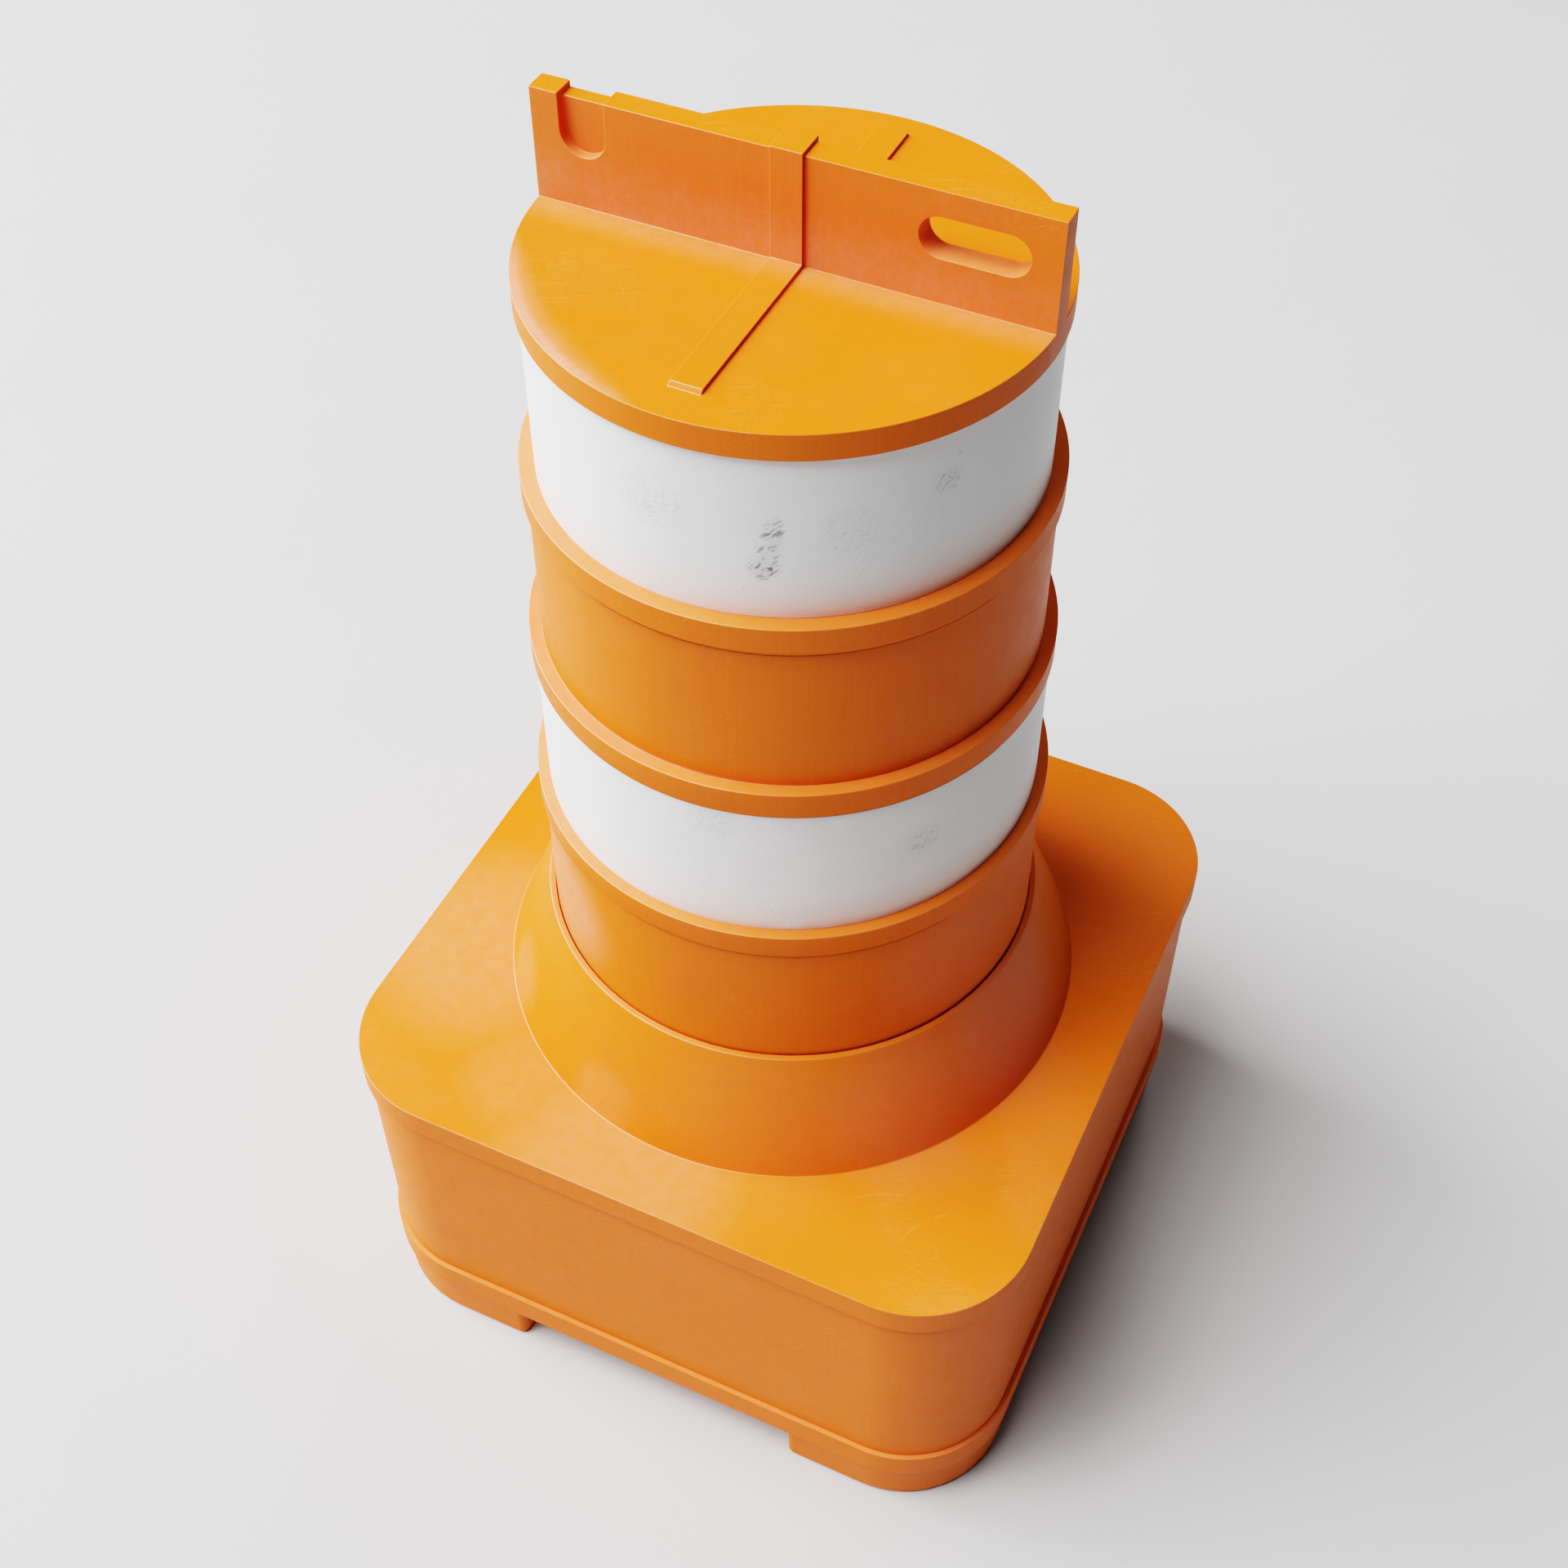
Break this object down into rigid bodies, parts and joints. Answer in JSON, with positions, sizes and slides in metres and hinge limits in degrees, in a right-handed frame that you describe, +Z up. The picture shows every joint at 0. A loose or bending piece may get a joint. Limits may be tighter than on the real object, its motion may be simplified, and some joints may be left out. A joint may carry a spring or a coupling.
{
  "type": "traffic barrel drum",
  "caption": "Banded orange and white traffic barrel drum with a finned grip cap, seated in the cone collar of a ballasted square base.",
  "frame": {"origin": "centre of the underside, on the ground plane that the foot pads stand on", "axes": "+Z up, the grip fin along X with the hand slot towards +X, -Y the front with the lamp pocket's open face"},
  "size_m": [0.6, 0.6, 1.1058],
  "materials": {
    "orange_plastic": "satin",
    "base_plastic": "satin",
    "cap_plastic": "satin",
    "white_sheeting": "satin",
    "orange_sheeting": "satin",
    "ballast_rubber": "matte",
    "pad_rubber": "matte",
    "zinc_steel": "zinc plated"
  },
  "bodies": {
    "base": {"base_cover": "orange_plastic", "base_tray": "base_plastic", "drum_socket": "base_plastic", "lower_ballast_slab": "ballast_rubber", "upper_ballast_slab": "ballast_rubber", "ballast_bolts": "zinc_steel", "ballast_washers": "zinc_steel", "tray_screws": "zinc_steel", "socket_screws": "zinc_steel", "front_left_foot_pad": "pad_rubber", "front_right_foot_pad": "pad_rubber", "rear_left_foot_pad": "pad_rubber", "rear_right_foot_pad": "pad_rubber"},
    "drum": {"drum_shell": "orange_plastic", "top_cap": "cap_plastic", "cap_screws": "zinc_steel", "upper_white_sheeting": "white_sheeting", "upper_orange_sheeting": "orange_sheeting", "lower_white_sheeting": "white_sheeting", "lower_orange_sheeting": "orange_sheeting"}
  },
  "joints": [
    {"name": "drum_lift", "type": "slide", "parent": "base", "child": "drum", "axis": [0, 0, 1], "range_m": [0, 0.15]}
  ]
}
